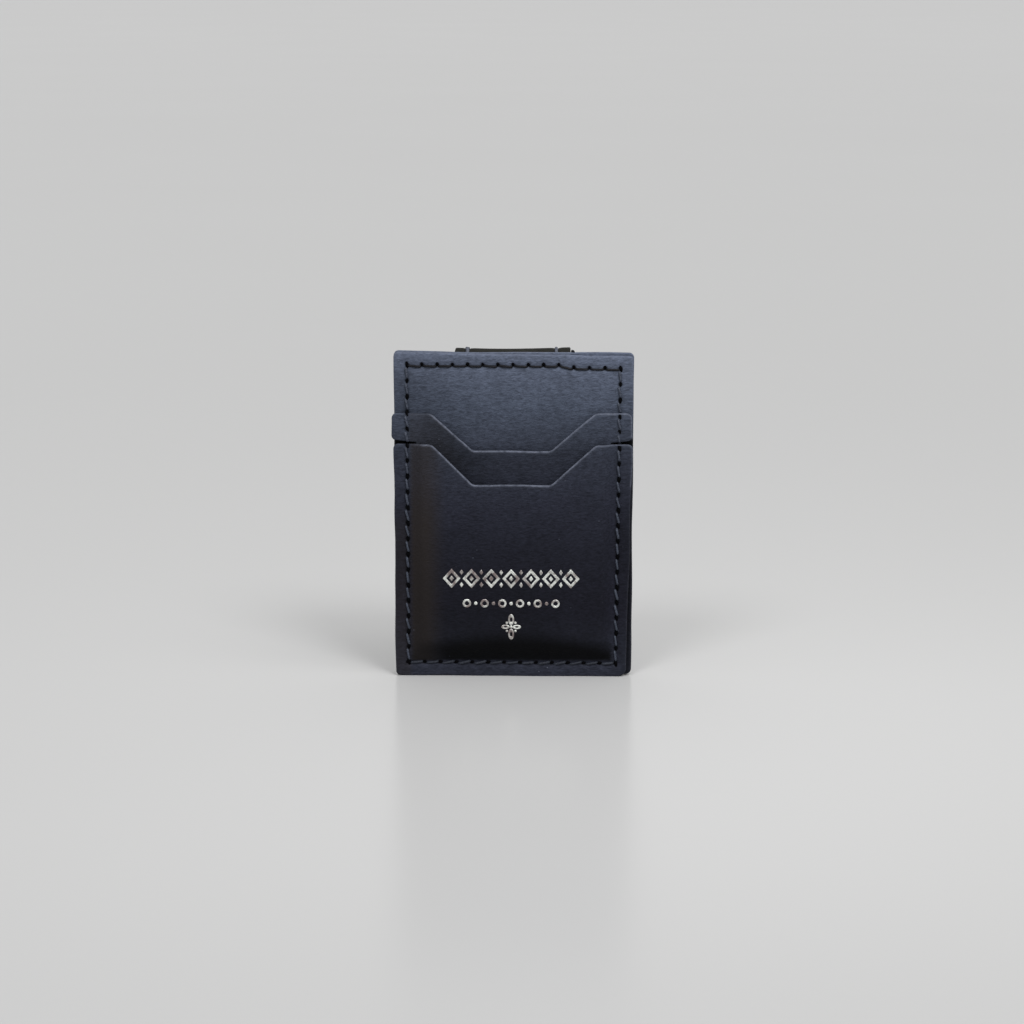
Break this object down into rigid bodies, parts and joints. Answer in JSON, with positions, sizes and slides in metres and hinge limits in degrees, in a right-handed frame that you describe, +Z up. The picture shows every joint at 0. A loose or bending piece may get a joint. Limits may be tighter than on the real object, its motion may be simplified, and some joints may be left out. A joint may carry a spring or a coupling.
{
  "type": "money clip",
  "caption": "Slim leather card holder with stacked notched card pockets on the front and a folding magnetic banknote clip on the back.",
  "frame": {"origin": "under the middle of the whole object, at the height of its bottom edge", "axes": "+Z up towards the fold of the clip, -Y towards the card pockets on the front, +Y towards the clip on the back, +X to the right seen from the front"},
  "size_m": [0.0677, 0.0142, 0.0941],
  "materials": {
    "holder_leather": "blue-black full-grain leather, fine horizontal grain, soft satin sheen, cut edges lighter",
    "strap_leather": "black leather with a slight olive cast, matt, burnished edges",
    "lining_leather": "thin matt lining leather, finer grain",
    "thread": "black waxed thread",
    "magnet": "nickel-plated disc magnet, hidden"
  },
  "bodies": {
    "holder": {"front_panel": "holder_leather", "back_panel": "holder_leather", "upper_pocket": "holder_leather", "lower_pocket": "holder_leather", "perimeter_thread_front": "thread", "perimeter_thread_back": "thread", "pocket_base_thread": "thread", "fixed_leaf_outer": "strap_leather", "fixed_leaf_lining": "lining_leather", "fixed_magnet_left": "magnet", "fixed_magnet_right": "magnet", "fixed_leaf_thread": "thread"},
    "clip_fold": {"fold_outer": "strap_leather", "fold_lining": "lining_leather", "fold_thread_left": "thread", "fold_thread_right": "thread"},
    "clip_flap": {"flap_outer": "strap_leather", "flap_lining": "lining_leather", "flap_magnet_left": "magnet", "flap_magnet_right": "magnet", "flap_thread": "thread"}
  },
  "joints": [
    {"name": "fold_hinge", "type": "hinge", "parent": "holder", "child": "clip_fold", "pos_m": [0, 0.00067, 0.09202], "axis": [1, 0, 0], "range_deg": [0, 85], "stiffness_Nm_per_rad": 0.003},
    {"name": "flap_hinge", "type": "hinge", "parent": "clip_fold", "child": "clip_flap", "pos_m": [0, 0.00643, 0.09202], "axis": [1, 0, 0], "range_deg": [0, 85], "stiffness_Nm_per_rad": 0.003}
  ],
  "couplings": [
    {"joint": "flap_hinge", "follows": "fold_hinge", "ratio": 1}
  ]
}
